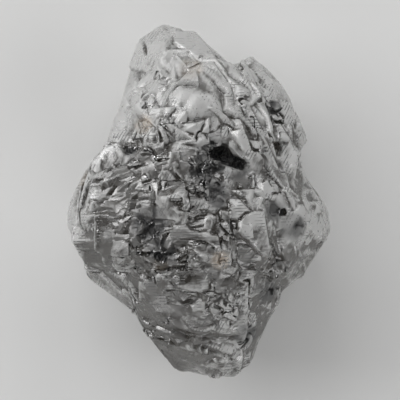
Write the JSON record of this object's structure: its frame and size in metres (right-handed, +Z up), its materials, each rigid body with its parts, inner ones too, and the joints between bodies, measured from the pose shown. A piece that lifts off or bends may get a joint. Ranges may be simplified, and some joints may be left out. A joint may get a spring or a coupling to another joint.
{
  "type": "rough diamond",
  "caption": "Rough diamond: one natural see-through grey stone, a knot of octahedral crystals with worn lobes, growth plates and small pits.",
  "frame": {"origin": "middle of the stone's box on the flat octahedral face that it rests on", "axes": "+Y along the stone's length towards its pointed end, +X across its width, +Z up through its thickness, away from the face that it rests on"},
  "size_m": [0.0068, 0.009, 0.0052],
  "materials": {
    "diamond": "clear grey diamond with satin crystal faces"
  },
  "bodies": {
    "root": {"rough_diamond": "diamond"}
  },
  "joints": []
}
